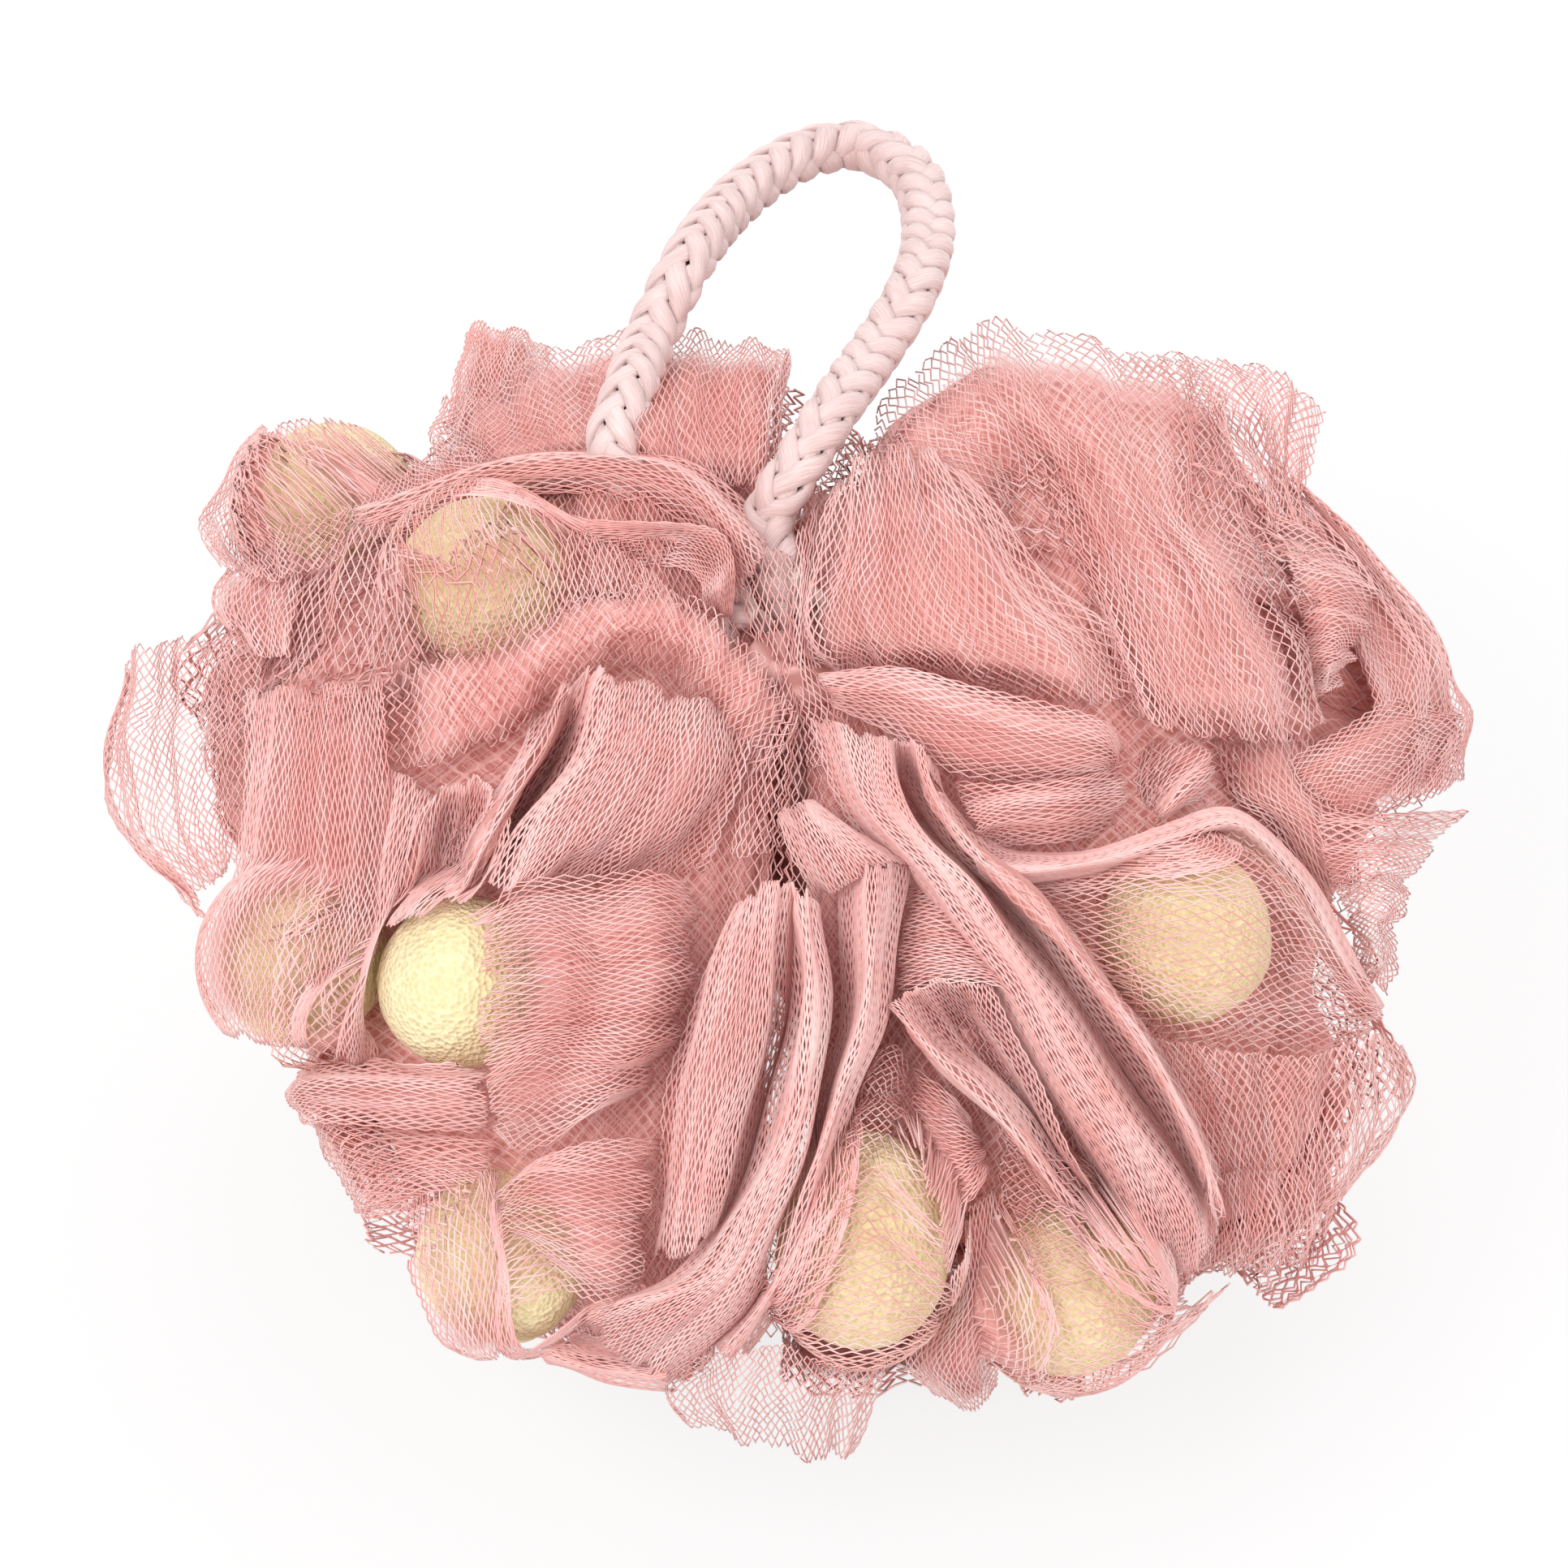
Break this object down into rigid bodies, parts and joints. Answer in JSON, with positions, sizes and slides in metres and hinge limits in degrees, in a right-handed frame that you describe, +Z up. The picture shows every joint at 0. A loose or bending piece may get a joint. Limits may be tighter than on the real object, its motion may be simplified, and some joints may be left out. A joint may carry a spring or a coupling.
{
  "type": "mesh bath pouf",
  "caption": "Round bath pouf of gathered net tubing, tied in the middle, with foam balls held in the folds and a braided loop to hang it by.",
  "frame": {"origin": "centre of the pouf's footprint, at the surface it rests on, measured without the hanging loop", "axes": "+X along the pouf's longest way, across the two halves of net; +Y away from the side the picture was taken from; +Z up from the surface it rests on"},
  "size_m": [0.1704, 0.1768, 0.1134],
  "materials": {
    "net_pink": "knitted polyethylene net, pink",
    "net_rose": "knitted polyethylene net, a little deeper pink",
    "sponge_yellow": "open-cell foam, matt",
    "cord_pink": "braided cord, dusty pink"
  },
  "bodies": {
    "root": {"net_tube_left": "net_pink", "net_tube_right": "net_rose", "foam_ball_01": "sponge_yellow", "foam_ball_02": "sponge_yellow", "foam_ball_03": "sponge_yellow", "foam_ball_04": "sponge_yellow", "foam_ball_05": "sponge_yellow", "foam_ball_06": "sponge_yellow", "foam_ball_07": "sponge_yellow", "foam_ball_08": "sponge_yellow", "foam_ball_09": "sponge_yellow", "foam_ball_10": "sponge_yellow", "foam_ball_11": "sponge_yellow", "foam_ball_12": "sponge_yellow", "centre_tie": "cord_pink", "loop_knot": "cord_pink", "hanging_loop": "cord_pink"}
  },
  "joints": []
}
